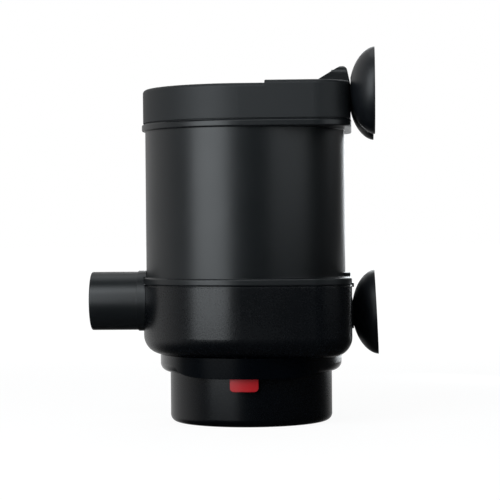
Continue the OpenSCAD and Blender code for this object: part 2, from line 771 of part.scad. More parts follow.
// Round water chamber, and a pocket in each rear corner that keeps the wall even
module bowl_inside() {
    rotate_extrude() translate([0, pod_z + 1]) mirror([0, 1])
        edge_half(bowl_ir, bowl_h - bowl_floor + 1, max(bowl_corner - bowl_wall, 0.5));
    pocket_z = bowl_z + bowl_corner;
    for (side = [-1, 1]) intersection() {
        difference() {
            translate([0, 0, pocket_z]) linear_extrude(pod_z - pocket_z + 1)
                d_plan(band_r - bowl_wall, back_x - bowl_wall, rear_corner - bowl_wall);
            rod(pocket_z - 1, pod_z - pocket_z + 3, band_r);
        }
        translate([pocket_front, side > 0 ? socket_boss_r + 4 : -band_r, pocket_z])
            cube([back_x, band_r - socket_boss_r - 4, pod_z - pocket_z + 1]);
    }
}

module pump_bowl() color(bowl_black) difference() {
    union() {
        on_motor_axis() {
            difference() {
                bowl_outside();
                bowl_inside();
            }
            around(bowl_screw_circle, screw_angles) rod(bowl_z, bowl_h, column_r);
            // Catch at the rear that holds the pod's lug
            translate([back_x - 1, -catch_w / 2, pod_z - catch_h]) cube([1 + catch_out, catch_w, catch_h]);
        }
        // Pad and socket of the lower suction cup
        at_lower_cup() rotate([0, -90, 0]) rod(0, socket_depth + 1.6, socket_boss_r + 1.4);
    }
    at_lower_cup() cup_socket();
    at_lower_cup() rotate([0, 90, 0]) rod(0, 5, 2 * socket_boss_r);
    on_motor_axis() {
        rod(bowl_z - 1, bowl_floor + 2, eye_hole_r);
        around(bowl_screw_circle, screw_angles) {
            rod(bowl_z - 1, bowl_h + 2, screw_r + screw_gap);
            rod(bowl_z - 1, screw_head_h + 1.4, screw_head_r + fit_gap);
        }
        around(bowl_screw_circle, [90]) rod(bowl_z - 1, bowl_floor + 2, probe_r + snug);
        translate([0, 0, port_z]) rotate([0, -90, 0]) rod(bowl_ir - 4, 10, stub_r + fit_gap);
    }
    around(collar_r - collar_wall / 2, pin_angles) rod(bowl_z - 1, pin_l + 1.3, pin_r + 0.05);
}

// Ring under the bowl that the cap pushes onto, with the four windows
module intake_spigot() color(bowl_black) difference() {
    tube(spigot_z, spigot_h, spigot_r, spigot_ir);
    slider_windows(spigot_ir - 1, spigot_r + 1, 0, 3);
    o_ring(spigot_z + 1.3, spigot_r - 0.4, seal_r + snug);
}

module bowl_seal() color(rubber_black) on_motor_axis()
    o_ring(pod_z - 1, bowl_ir - fit_gap - 0.3, min(seal_r, fit_gap + 0.3 - snug));

module bowl_screws() color(steel) on_motor_axis() around(bowl_screw_circle, screw_angles)
    translate([0, 0, bowl_z + screw_head_h + 0.4]) rotate([180, 0, 0]) screw(0, bowl_screw_l);

// Plate with the pump's inlet, which sits in the bowl's floor
module eye_plate() color(bowl_black) on_motor_axis() {
    tube(bowl_floor_z, eye_flange_t, eye_flange_r, eye_r);
    tube(bowl_z + 0.5, bowl_floor - 0.5 + eps, eye_hole_r - fit_gap, eye_hole_r - fit_gap - 2);
    tube(bowl_floor_z + eye_flange_t - eps, eye_top - bowl_floor_z - eye_flange_t, eye_r + eye_wall, eye_r);
}

// ---------- outlet nozzle ----------

module outlet_nozzle() color(shell_black) on_motor_axis() {
    difference() {
        translate([0, 0, nozzle_z]) rotate([0, -90, 0]) difference() {
            union() {
                translate([0, 0, pod_r - 6]) rotate_extrude()
                    edge_half(nozzle_r, nozzle_reach - pod_r + 6, mouth_edge);
                rod(pod_r - 6, band_r + root_l - pod_r + 6, nozzle_r + root_out);
            }
            rod(band_r + 3, nozzle_reach, nozzle_r - nozzle_wall);
        }
        // Saddle that fits the bowl, the lower flange and the pod's wall
        rod(0, wall_z + 0.1, band_r + snug);
        rod(wall_z, pod_h, pod_r + 0.1);
        translate([0, 0, port_z]) rotate([0, -90, 0]) rod(0, nozzle_reach - 5, port_r);
    }
    // Stub that goes through the bowl's wall
    difference() {
        translate([0, 0, port_z]) rotate([0, -90, 0]) difference() {
            rod(bowl_ir - 1, bowl_wall + 2.4, stub_r);
            rod(bowl_ir - 2, bowl_wall + 4, port_r);
        }
        translate([0, 0, port_z]) rotate([0, -90, 0])
            o_ring(band_r - bowl_wall / 2, stub_r - 0.4, 0.6 + snug);
    }
}

module nozzle_seal() color(rubber_black) on_motor_axis()
    translate([0, 0, port_z]) rotate([0, -90, 0])
        o_ring(band_r - bowl_wall / 2, stub_r - 0.4, 0.58);

// ---------- collar, slider and cap ----------

// The four windows that the slider opens and closes
module slider_windows(r_in, r_out, offset, wider)
    for (i = [0:3]) ring_part(window_z, window_h, r_in, r_out,
        90 * i - window_angle / 2 + offset - wider, 90 * i + window_angle / 2 + offset + wider);

// Front view of the skirt: level in the middle, its two ends running up the collar's round corner
module skirt_view() {
    half = collar_r * sin(skirt_half_angle);
    foot = collar_z + collar_round;
    polygon(concat([[half, foot + 0.5], [-half, foot + 0.5]],
        [for (i = [0:40]) let (u = i / 20 - 1)
            [half * u, foot - (collar_round + skirt_drop) * sqrt(1 - pow(abs(u), 6))]]));
}

// Section of the collar before it is hollowed, upright and round at its lower outer corner
module collar_section() translate([0, bowl_z - seam])
    mirror([0, 1]) edge_half(collar_r, collar_h - seam, collar_round);

module collar() color(shell_black) {
    gap_half_angle = tab_half_angle + slider_turn + 3;
    difference() {
        union() {
            rotate_extrude() difference() {
                collar_section();
                square([collar_ir, bowl_z + 1]);
            }
            intersection() {
                tube(skirt_z, collar_z + collar_round + 0.4 - skirt_z, collar_r, collar_ir);
                rotate([90, 0, 0]) linear_extrude(2 * collar_r) skirt_view();
            }
        }
        // Pocket at the rear that stops the slider's lug
        ring_part(lug_z - fit_gap, bowl_z - lug_z + 1, collar_ir - 1, collar_ir + lug_out + 0.1,
            -slider_turn - lug_half_angle - 1, slider_turn + lug_half_angle + 1);
    }
    // Ledge that carries the slider's ring, open where the tab hangs through
    rotate(gap_half_angle - 90 - tab_turn) rotate_extrude(angle = 360 - 2 * gap_half_angle) intersection() {
        collar_section();
        translate([ledge_ir, collar_z]) square([collar_ir - ledge_ir + 0.3, ledge_t]);
    }
    around(collar_r - collar_wall / 2, pin_angles) rod(bowl_z - 1, pin_l + 1, pin_r);
}

module flow_slider() color(tab_red) {
    difference() {
        tube(ring_z, ring_top - ring_z, slider_r, slider_ir);
        slider_windows(slider_ir - 1, slider_r + 1, window_angle / 2, 0);
    }
    intersection() {
        tube(tab_z, ring_z - tab_z + eps, slider_r, slider_ir);
        rotate(-tab_turn) translate([0, 0, ring_z + 2]) rotate([90, 0, 0]) linear_extrude(2 * slider_r)
            mirror([0, 1]) {
                edge_half(tab_w / 2, ring_z + 2 - tab_z, 1.5);
                mirror([1, 0]) edge_half(tab_w / 2, ring_z + 2 - tab_z, 1.5);
            }
    }
    ring_part(lug_z, ring_top - lug_z, slider_r - eps, collar_ir + lug_out - 0.2,
        -lug_half_angle, lug_half_angle);
}

module intake_cap() color(bowl_black) difference() {
    rotate_extrude() difference() {
        translate([0, cap_h]) mirror([0, 1]) edge_half(cap_r, cap_h, cap_corner);
        translate([0, cap_h + 1]) mirror([0, 1])
            edge_half(cap_ir, cap_h - cap_wall + 1, cap_corner_in);
    }
    slider_windows(cap_ir - 1, cap_r + 1, 0, 0);
    for (i = [0:slot_count - 1]) rotate(i * 360 / slot_count) {
        translate([9, -slot_w / 2, -1]) cube([cap_ir - 14, slot_w, cap_wall + 2]);
        for (x = [9, cap_ir - 5]) translate([x, 0, -1]) cylinder(r = slot_w / 2, h = cap_wall + 2, $fn = 32);
    }
}

module cap_seal() color(rubber_black)
    o_ring(spigot_z + 1.3, spigot_r - 0.4, min(seal_r, fit_gap + 0.4 - snug));

// Perforated plate that lies on the cap's floor
module strainer() color(steel) difference() {
    rod(cap_wall, 0.8, cap_ir - max(2 * fit_gap, cap_corner_in));
    for (ring = [1:4]) around(5.6 * ring, [for (i = [0:6 * ring - 1]) i * 60 / ring])
        rod(cap_wall - 1, 3, 1.6);
}

pod_housing();
top_lid();
lid_seal();
lid_screws();
cord_hood();
cord_grommet();
display_lens();
display_module();
control_board();
key_switches();
key_minus();
key_power();
key_plus();
power_board();
power_parts();
motor_can();
stator_core();
stator_coils();
upper_bearing();
lower_bearing();
thrust_washers();
rotor_magnet();
shaft();
impeller();
thermal_cutout();
heater_coil();
heater_seals();
temperature_probe();
pump_bowl();
intake_spigot();
bowl_seal();
bowl_screws();
eye_plate();
outlet_nozzle();
nozzle_seal();
collar();
flow_slider();
intake_cap();
cap_seal();
strainer();
cup_upper_left();
cup_upper_right();
cup_lower();
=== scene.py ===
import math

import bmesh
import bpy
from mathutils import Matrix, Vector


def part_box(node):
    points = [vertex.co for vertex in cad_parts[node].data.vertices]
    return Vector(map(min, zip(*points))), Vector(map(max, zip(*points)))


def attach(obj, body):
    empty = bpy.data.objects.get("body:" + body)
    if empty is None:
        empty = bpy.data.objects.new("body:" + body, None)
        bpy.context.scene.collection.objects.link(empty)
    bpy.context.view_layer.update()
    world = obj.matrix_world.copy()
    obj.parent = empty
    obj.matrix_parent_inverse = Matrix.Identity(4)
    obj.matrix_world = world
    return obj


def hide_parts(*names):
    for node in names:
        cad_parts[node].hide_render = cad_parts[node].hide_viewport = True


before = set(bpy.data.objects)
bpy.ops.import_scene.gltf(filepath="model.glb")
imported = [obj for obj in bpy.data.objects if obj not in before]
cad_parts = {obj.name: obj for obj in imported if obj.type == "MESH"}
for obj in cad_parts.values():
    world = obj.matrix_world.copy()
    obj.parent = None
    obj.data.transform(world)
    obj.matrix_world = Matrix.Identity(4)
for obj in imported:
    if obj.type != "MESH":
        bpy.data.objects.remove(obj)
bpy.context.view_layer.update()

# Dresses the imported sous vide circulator: camera and studio, a finish for every node, and
# finer pieces where a plain solid isn't enough (windings, key marks, digits, ribs, solder).
#
# Lengths are in metres; MM turns millimetres into them. A texture's scale counts its features
# in a metre. Grain, bump depths, bevels and sheet pitches are given in millimetres.

MM = 0.001


def corners(node):
    """A node's lowest and highest corners and its middle."""
    low, high = (Vector(corner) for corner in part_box(node))
    return low, high, (low + high) / 2


MOTOR_X = corners("shaft")[2].x


# ---------- camera ----------

CAMERA_AT = Vector((40.2, -760, 78)) * MM
CAMERA_AIM = Vector((-0.1, 0, 68)) * MM
CAMERA_LENS = 136.8
CAMERA_ROLL = math.radians(-0.5)


def add_camera():
    data = bpy.data.cameras.new("camera")
    data.lens = CAMERA_LENS
    data.sensor_width = 36
    data.clip_start, data.clip_end = 0.05, 20
    camera = bpy.data.objects.new("camera", data)
    look = (CAMERA_AIM - CAMERA_AT).to_track_quat("-Z", "Y").to_matrix()
    turn = look @ Matrix.Rotation(CAMERA_ROLL, 3, "Z")
    camera.matrix_world = Matrix.Translation(CAMERA_AT) @ turn.to_4x4()
    bpy.context.scene.collection.objects.link(camera)
    bpy.context.scene.camera = camera


# ---------- node trees ----------

class Val:
    """A number's socket in a tree; operators on it add Math nodes."""

    def __init__(self, tree, socket):
        self.tree, self.socket = tree, socket

    def __add__(self, other):
        return self.tree.math("ADD", self, other)

    def __sub__(self, other):
        return self.tree.math("SUBTRACT", self, other)

    def __rsub__(self, other):
        return self.tree.math("SUBTRACT", other, self)

    def __mul__(self, other):
        return self.tree.math("MULTIPLY", self, other)

    def __truediv__(self, other):
        return self.tree.math("DIVIDE", self, other)

    __radd__ = __add__
    __rmul__ = __mul__


class Tree:
    """A node tree, with one method that adds any node and some for common ones."""

    def __init__(self, nodes, links):
        self.nodes, self.links = nodes, links

    def node(self, kind, settings=None, inputs=None):
        made = self.nodes.new(kind)
        for name, value in (settings or {}).items():
            setattr(made, name, value)
        for name, value in (inputs or {}).items():
            self.plug(made.inputs[name], value)
        return made

    def plug(self, socket, value):
        if isinstance(value, Val):
            self.links.new(value.socket, socket)
        elif isinstance(value, bpy.types.NodeSocket):
            self.links.new(value, socket)
        else:
            socket.default_value = value

    def math(self, operation, a, b=0.0, clamp=False):
        made = self.node("ShaderNodeMath", {"operation": operation, "use_clamp": clamp},
                         {0: a, 1: b})
        return Val(self, made.outputs[0])

    def above(self, value, limit):
        return self.math("GREATER_THAN", value, limit)

    def waves(self, value, pitch):
        """Rises and falls between 0 and 1, once in each pitch."""
        return self.math("PINGPONG", value / pitch, 0.5) * 2

    def ramp(self, value, low, high, to_low=0.0, to_high=1.0):
        """Smooth step of a value from one range to another."""
        made = self.node("ShaderNodeMapRange", {"interpolation_type": "SMOOTHSTEP"},
                         {0: value, 1: low, 2: high, 3: to_low, 4: to_high})
        return Val(self, made.outputs[0])

    def noise(self, place, scale, detail=2.0, roughness=0.5):
        made = self.node("ShaderNodeTexNoise", None,
                         {"Vector": place, "Scale": scale, "Detail": detail,
                          "Roughness": roughness})
        return Val(self, made.outputs["Fac"])

    def cells(self, place, scale, randomness=1.0, distance="EUCLIDEAN"):
        """Distance to the nearest cell's middle, and two random numbers of that cell."""
        made = self.node("ShaderNodeTexVoronoi", {"distance": distance},
                         {"Vector": place, "Scale": scale, "Randomness": randomness})
        chance = self.node("ShaderNodeSeparateColor", None, {0: made.outputs["Color"]})
        return [Val(self, socket) for socket in
                (made.outputs["Distance"], chance.outputs[0], chance.outputs[1])]

    def stretched(self, place, scale):
        made = self.node("ShaderNodeMapping", {"vector_type": "POINT"},
                         {"Vector": place, "Scale": scale})
        return made.outputs[0]

    def coordinates(self, space):
        return self.node("ShaderNodeTexCoord").outputs[space]

    def split(self, vector):
        made = self.node("ShaderNodeSeparateXYZ", None, {0: vector})
        return [Val(self, made.outputs[axis]) for axis in "XYZ"]

    def vector(self, **parts):
        return self.node("ShaderNodeCombineXYZ", None, parts).outputs[0]

    def mix_colour(self, share, a, b):
        made = self.node("ShaderNodeMix", {"data_type": "RGBA"}, {0: share, 6: a, 7: b})
        return made.outputs[2]

    def light_path(self, ray):
        return Val(self, self.node("ShaderNodeLightPath").outputs[ray])


def colour(red, green, blue):
    """A colour from its values between 0 and 255 on a screen."""
    def linear(c):
        c /= 255
        return c / 12.92 if c <= 0.04045 else ((c + 0.055) / 1.055) ** 2.4
    return linear(red), linear(green), linear(blue), 1.0


def grey(level, blue=None):
    """A grey of a given strength, with its own blue where it is a little warm or cold."""
    return level, level, level if blue is None else blue, 1.0


def times(shade, factor):
    """A colour made paler or darker."""
    return tuple(min(1.0, c * factor) for c in shade[:3]) + (1.0,)


def empty_tree(owner):
    """Clears a material's or world's nodes and returns its tree."""
    owner.use_nodes = True
    owner.node_tree.nodes.clear()
    return Tree(owner.node_tree.nodes, owner.node_tree.links)


class Finish:
    """A Principled material whose patterns read the object's own coordinates."""

    def __init__(self, name, **uniform):
        self.material = bpy.data.materials.new(name)
        self.tree = empty_tree(self.material)
        self.shader = self.tree.node("ShaderNodeBsdfPrincipled")
        out = self.tree.node("ShaderNodeOutputMaterial")
        self.tree.links.new(self.shader.outputs[0], out.inputs[0])
        self.place = self.tree.coordinates("Object")
        for label, value in uniform.items():
            self.shader.inputs[label.replace("_", " ")].default_value = value

    def set(self, label, value):
        self.tree.plug(self.shader.inputs[label], value)

    def base_colour(self, share, shade, other):
        self.set("Base Color", self.tree.mix_colour(share, shade, other))

    def bump(self, depth, height, normal=None):
        inputs = {"Distance": depth * MM, "Height": height}
        if normal is not None:
            inputs["Normal"] = normal
        self.set("Normal", self.tree.node("ShaderNodeBump", None, inputs).outputs[0])


# ---------- kinds of finish ----------

EDGE_ROUNDING = 0.35
CAPACITORS_FROM = 4 * MM
CAN_TOP = 0.6 * MM
TRACK_PITCH = 1.1 * MM
PAD_PITCH = 2.54 * MM


def plastic(name, shade, rough, grain, depth, blotch=0.15, wear=0.6, specular=0.5):
    """Moulded plastic: eroded grain, faint blotches, and edges rubbed shinier and paler."""
    made = Finish(name, Specular_IOR_Level=specular)
    tree, place = made.tree, made.place
    soft = tree.node("ShaderNodeBevel", {"samples": 4}, {"Radius": EDGE_ROUNDING * MM}).outputs[0]
    bend = tree.node("ShaderNodeVectorMath", {"operation": "DOT_PRODUCT"},
                     {0: soft, 1: tree.node("ShaderNodeNewGeometry").outputs["Normal"]})
    rubbed = tree.ramp(Val(tree, bend.outputs["Value"]), 0.98, 0.75)
    patches = tree.noise(place, 45, 3)
    fine = tree.noise(place, 1 / (grain * MM), 2, 0.6)
    scuffs = tree.ramp(tree.noise(place, 160, 4, 0.7), 0.6, 0.78)
    pale = patches * blotch + rubbed * wear * 0.5 + scuffs * 0.12
    made.base_colour(pale, shade, times(shade, 2.6))
    made.set("Roughness",
             rough + (patches - 0.5) * 0.10 + (fine - 0.5) * 0.12 - rubbed * 0.10)
    made.bump(depth, fine, soft)
    return made


def side_sheen_plastic(node, *given, **more):
    """Plastic of a ring with painted sheen: a clear coat only at its two sides along X, which are
    the ring's ends in the camera's view, so that they catch bright reflections; none in front and
    behind.
    """
    made = plastic(*given, **more)
    low, high, _ = corners(node)
    across = made.tree.split(made.tree.coordinates("Object"))[0] - MOTOR_X
    far = made.tree.math("ABSOLUTE", across) / ((high.y - low.y) / 2)
    # Painted sheen: the coat rises from none to full towards the ring's two ends along X.
    made.set("Coat Weight", made.tree.ramp(far, 0.62, 0.86))
    made.set("Coat Roughness", 0.22)
    return made


def rubber(name, shade, rough):
    """Smooth soft rubber with a faint bloom."""
    made = Finish(name, Specular_IOR_Level=0.45)
    bloom = made.tree.noise(made.place, 70, 4, 0.6)
    made.base_colour(bloom * 0.35, shade, times(shade, 2.2))
    made.set("Roughness", rough + (bloom - 0.5) * 0.18)
    made.bump(0.008, made.tree.noise(made.place, 1500, 2))
    return made


def metal(name, shade, rough, drawn=(1, 1, 1)):
    """Metal with fine lines, long in the directions where drawn is small."""
    made = Finish(name, Metallic=1.0)
    lines = made.tree.noise(made.tree.stretched(made.place, drawn), 2600, 3)
    stain = made.tree.noise(made.place, 90, 3)
    made.base_colour(stain * 0.3, shade, times(shade, 0.72))
    made.set("Roughness", rough + (lines - 0.5) * 0.16 + (stain - 0.5) * 0.10)
    made.bump(0.004, lines)
    return made


def laminations(name, shade, pitch):
    """Stacked steel sheets, each with its edge a little rounded and dark varnish between."""
    made = Finish(name, Metallic=0.9)
    sheet = made.tree.waves(made.tree.split(made.place)[2], pitch * MM)
    gap = made.tree.ramp(sheet, 0.0, 0.3, 1.0, 0.0)
    tone = made.tree.noise(made.place, 300, 3)
    made.base_colour(gap * 0.8 + tone * 0.2, shade, times(shade, 0.3))
    made.set("Roughness", 0.38 + gap * 0.3 + (tone - 0.5) * 0.2)
    made.bump(0.08, sheet)
    return made


def circuit_board(name, shade, gold):
    """Solder mask over blocks of parallel copper tracks, with bare pads on the usual grid."""
    made = Finish(name)
    tree = made.tree
    x, y, _ = tree.split(made.place)
    _, first, second = tree.cells(made.place, 150.0, 0.5, "CHEBYCHEV")
    turned = tree.above(first, 0.5)
    filled = tree.above(second, 0.25)
    across = x * turned + y * (1 - turned)
    track = tree.ramp(tree.waves(across, TRACK_PITCH), 0.42, 0.55) * filled
    from_hole, lot, _ = tree.cells(made.place, 1 / PAD_PITCH, 0.0)
    pad = tree.ramp(from_hole, 0.26, 0.22) * tree.above(lot, 0.72)
    weave = tree.noise(made.place, 2400, 2)
    made.base_colour(pad, tree.mix_colour(track, shade, times(shade, 1.7)), gold)
    made.set("Metallic", pad)
    made.set("Roughness", 0.30 + (weave - 0.5) * 0.15)
    made.bump(0.03, track + pad + weave * 0.2)
    return made


def ground_ceramic(name, shade, rough, speck):
    """Pressed and ground ferrite or carbon, with glints of grain."""
    made = Finish(name)
    distance, _, _ = made.tree.cells(made.place, 1 / (speck * MM))
    glint = made.tree.ramp(distance, 0.0, 0.35, 1.0, 0.0)
    tone = made.tree.noise(made.place, 120, 4, 0.6)
    made.base_colour(glint * 0.4 + tone * 0.3, shade, times(shade, 2.4))
    made.set("Roughness", rough + (tone - 0.5) * 0.2 - glint * 0.08)
    made.bump(0.012, glint)
    return made


def enamelled_wire(name, shade):
    """Copper under clear enamel, a little darker in patches where the varnish ran."""
    made = Finish(name, Metallic=0.85, Coat_Weight=0.6)
    varnish = made.tree.noise(made.place, 140, 4, 0.6)
    made.base_colour(varnish * 0.6, shade, times(shade, 0.45))
    made.set("Roughness", 0.24 + varnish * 0.16)
    return made


def smoked_lens(name, shade):
    """Polished smoked plastic with a faint haze of fine scratches."""
    made = Finish(name, Specular_IOR_Level=0.3)
    haze = made.tree.noise(made.place, 60, 3)
    hair = made.tree.stretched(made.place, (1, 14, 1))
    scratch = made.tree.ramp(made.tree.noise(hair, 500, 3, 0.7), 0.62, 0.7)
    made.base_colour(haze * 0.3, shade, times(shade, 2.0))
    made.set("Roughness", 0.14 + haze * 0.06 + scratch * 0.10)
    return made


def component_cases(name, case, sleeve, can):
    """Moulded cases, and sleeved capacitors with bare tops, told apart by where they stand."""
    made = Finish(name)
    tree = made.tree
    x, y, z = tree.split(made.place)
    capacitor = tree.math("LESS_THAN", y, 0.0) * tree.above(x, MOTOR_X - CAPACITORS_FROM)
    top = tree.above(z, corners("power_parts")[1].z - CAN_TOP)
    tone = tree.noise(made.place, 200, 3)
    cover = tree.mix_colour(capacitor, case, tree.mix_colour(top, sleeve, can))
    made.base_colour(tone * 0.25, cover, times(case, 0.4))
    made.set("Roughness", 0.34 + (tone - 0.5) * 0.2)
    made.bump(0.01, tree.noise(made.place, 1800, 2))
    return made


# ---------- studio ----------

FLOOR_HALF = 6.0
FLOOR_PAPER = 0.82
FLOOR_GLOW = 1.06
FLOOR_WHITE = 0.88
FLOOR_FADE = (0.12, 0.9)
WORLD_DIM = 0.02
WORLD_BEHIND = 0.58
WORLD_DIFFUSE = 0.35
LAMP_TINT = (0.91, 0.965, 1)


def seen_by_camera(tree):
    """One for the rays that the camera sees, straight or through something clear."""
    return tree.math("ADD", tree.light_path("Is Camera Ray"),
                     tree.light_path("Is Transmission Ray"), True)


def add_floor():
    """White paper that fades to pure white away from the object and keeps its shadow near it."""
    half = FLOOR_HALF
    mesh = bpy.data.meshes.new("floor")
    mesh.from_pydata([(-half, -half, 0), (half, -half, 0), (half, half, 0), (-half, half, 0)],
                     [], [(0, 1, 2, 3)])
    floor = bpy.data.objects.new("floor", mesh)
    bpy.context.scene.collection.objects.link(floor)
    made = bpy.data.materials.new("floor_paper")
    tree = empty_tree(made)
    paper = tree.node("ShaderNodeBsdfDiffuse", None, {"Color": grey(FLOOR_PAPER)})
    white = tree.node("ShaderNodeEmission", None, {"Color": grey(1), "Strength": FLOOR_GLOW})
    far = tree.node("ShaderNodeVectorMath", {"operation": "LENGTH"},
                    {0: tree.coordinates("Object")})
    fade = tree.ramp(Val(tree, far.outputs["Value"]), *FLOOR_FADE, FLOOR_WHITE, 1.0)
    mix = tree.node("ShaderNodeMixShader", None,
                    {0: seen_by_camera(tree) * fade, 1: paper.outputs[0], 2: white.outputs[0]})
    out = tree.node("ShaderNodeOutputMaterial")
    tree.links.new(mix.outputs[0], out.inputs[0])
    mesh.materials.append(made)
    floor.visible_glossy = False


def add_world():
    """White to the camera; to reflections and as light, pale behind the object and dark before."""
    world = bpy.data.worlds.new("studio")
    tree = empty_tree(world)
    x, y, z = tree.split(tree.coordinates("Generated"))
    behind = tree.ramp(y - x * 0.8, 0.0, 1.1, 0.0, WORLD_BEHIND)
    level = tree.ramp(z, -0.6, -0.15)
    seen = seen_by_camera(tree)
    glossy = tree.light_path("Is Glossy Ray")
    around = WORLD_DIM + behind * level * (WORLD_DIFFUSE + glossy * (1 - WORLD_DIFFUSE))
    light = tree.node("ShaderNodeBackground", None,
                      {"Color": grey(1), "Strength": seen + (1 - seen) * around})
    out = tree.node("ShaderNodeOutputWorld")
    tree.links.new(light.outputs[0], out.inputs[0])
    bpy.context.scene.world = world


def softbox(name, azimuth, height, distance, width, length, watts, aim):
    """A soft lamp of some watts for each square metre, aimed at a height on the axis.

    Azimuth 0 is on the camera's side, and 90 on the side of the cups.
    """
    data = bpy.data.lights.new(name, "AREA")
    data.shape = "RECTANGLE"
    data.size, data.size_y = width, length
    data.energy = watts * width * length
    data.color = LAMP_TINT
    lamp = bpy.data.objects.new(name, data)
    turn = math.radians(azimuth)
    lamp.location = (math.sin(turn) * distance, -math.cos(turn) * distance, height)
    lamp.rotation_mode = "QUATERNION"
    lamp.rotation_quaternion = (Vector((0, 0, aim)) - lamp.location).to_track_quat("-Z", "Y")
    lamp.visible_camera = False
    bpy.context.scene.collection.objects.link(lamp)


add_camera()
add_floor()
add_world()
#       name         azimuth height distance width length watts  aim
softbox("key_left",      -36, 0.25,  0.46,   0.34, 0.50,  11.60, 0.25)
softbox("fill_right",     52, 0.18,  0.32,   0.27, 0.20,  3.28,  0.18)
softbox("front_top",      -8, 0.46,  0.38,   0.36, 0.20,  8.00,  0.14)
softbox("top",           180, 1.30,  0.35,   1.00, 0.70,  3.60,  0.10)
softbox("back",          172, 0.30,  0.90,   0.50, 0.50,  12.00, 0.10)
softbox("side_right",    118, 0.35,  0.90,   0.40, 0.40,  1.80,  0.10)
softbox("low_right",     146, 0.025, 0.24,   0.12, 0.03,  8.00,  0.022)

bpy.context.scene.view_settings.view_transform = "Standard"


# ---------- finishes ----------

shell = plastic("shell_plastic_satin", colour(14, 17, 19), 0.35, 0.4, 0.010)
lid = plastic("lid_plastic_satin", colour(16, 19, 21), 0.54, 0.4, 0.006, blotch=0.3, specular=0.44)
bowl = plastic("bowl_plastic_grained", colour(4, 6, 9), 0.27, 0.6, 0.014, specular=0.42)
cap = plastic("cap_plastic_gloss", colour(2, 4, 7), 0.26, 0.4, 0.004, specular=0.32)
# Collar: its very low specular level keeps its front dark, standing in for the shade under the
# bowl's overhang, and its coat at the two ends is painted sheen.
trim = side_sheen_plastic("collar", "collar_plastic_matt", colour(2, 4, 7), 0.28, 0.4, 0.004,
                       specular=0.06)
red = plastic("tab_plastic_red", colour(164, 6, 18), 0.36, 0.4, 0.006, 0.1, 0.4)
white = plastic("white_plastic", colour(214, 212, 204), 0.45, 0.5, 0.006, 0.05, 0.1)
print_grey = plastic("symbol_print_grey", colour(150, 154, 156), 0.55, 0.2, 0.002, 0.05, 0.1)
segment_grey = plastic("segment_grey", colour(44, 47, 48), 0.5, 0.2, 0.002, 0.05, 0.1)
black_case = plastic("case_plastic_black", colour(24, 24, 27), 0.42, 0.3, 0.006, 0.1, 0.3)
cup_rubber = rubber("cup_rubber_black", colour(9, 12, 16), 0.44)
seal_rubber = rubber("seal_rubber_black", colour(14, 15, 16), 0.6)
stainless = metal("stainless_brushed", (0.60, 0.61, 0.62, 1), 0.28, (1, 1, 0.06))
can_steel = metal("can_steel_drawn", (0.55, 0.56, 0.57, 1), 0.22, (1, 1, 0.03))
perforated = metal("strainer_steel_rolled", (0.58, 0.59, 0.60, 1), 0.32, (0.05, 1, 1))
solder = metal("solder_bright", grey(0.66, 0.65), 0.26)
core_steel = laminations("core_steel_laminated", grey(0.26, 0.27), 0.5)
magnet = ground_ceramic("magnet_ferrite_ground", grey(0.060, 0.065), 0.42, 0.35)
carbon = ground_ceramic("bearing_carbon_graphite", grey(0.040, 0.042), 0.36, 0.2)
winding = enamelled_wire("winding_copper_enamel", (0.60, 0.25, 0.10, 1))
board = circuit_board("board_solder_mask", (0.014, 0.095, 0.042, 1), (0.72, 0.60, 0.38, 1))
lens = smoked_lens("lens_smoked", grey(0.006, 0.008))
cases = component_cases("component_cases", grey(0.022, 0.025), (0.02, 0.05, 0.16, 1), grey(0.55))

finishes = {
    shell: ["pod_housing", "outlet_nozzle", "cord_hood", "key_minus", "key_power", "key_plus"],
    lid: ["top_lid"],
    bowl: ["pump_bowl", "eye_plate", "intake_spigot"],
    cap: ["intake_cap"],
    trim: ["collar"],
    red: ["flow_slider"],
    white: ["impeller", "thrust_washers"],
    cup_rubber: ["cup_upper_left", "cup_upper_right", "cup_lower"],
    seal_rubber: ["lid_seal", "cord_grommet", "heater_seals", "bowl_seal", "nozzle_seal",
                  "cap_seal"],
    stainless: ["lid_screws", "bowl_screws", "shaft", "heater_coil", "temperature_probe",
                "key_switches"],
    perforated: ["strainer"],
    can_steel: ["motor_can"],
    core_steel: ["stator_core"],
    magnet: ["rotor_magnet"],
    carbon: ["upper_bearing", "lower_bearing"],
    board: ["control_board", "power_board"],
    lens: ["display_lens"],
    cases: ["power_parts"],
    black_case: ["display_module", "thermal_cutout"],
}
for finish, names in finishes.items():
    for name in names:
        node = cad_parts[name]
        for slot in node.material_slots:
            slot.material = finish.material
        if not node.material_slots:
            node.data.materials.append(finish.material)


# ---------- meshes ----------

# Straight steps in a bar's round end, an arc's long side and round end, and a whole turn.
BAR_END, ARC_SIDE, ARC_END, FULL_TURN = 8, 40, 6, 128


def add_piece(name, mesh, body, finish=None):
    """Puts a finished mesh in the scene, riding on a body."""
    mesh.name = name
    if finish:
        mesh.materials.clear()
        mesh.materials.append(finish.material)
    piece = bpy.data.objects.new(name, mesh)
    bpy.context.scene.collection.objects.link(piece)
    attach(piece, body)
    return piece


def shade_smooth(mesh, angle):
    """Smooth shading, but for edges sharper than an angle in degrees."""
    mesh.polygons.foreach_set("use_smooth", [True] * len(mesh.polygons))
    mesh.set_sharp_from_angle(angle=math.radians(angle))


def closed_mesh(name, make):
    """A mesh from a function that fills a bmesh, with its faces turned outwards."""
    work = bmesh.new()
    make(work)
    bmesh.ops.remove_doubles(work, verts=work.verts, dist=0.001 * MM)
    bmesh.ops.recalc_face_normals(work, faces=work.faces)
    mesh = bpy.data.meshes.new(name)
    work.to_mesh(mesh)
    work.free()
    return mesh


def bridge(work, ring, other):
    """Joins two closed rings of vertices with a band of faces."""
    for i in range(len(ring)):
        j = (i + 1) % len(ring)
        work.faces.new((ring[i], ring[j], other[j], other[i]))


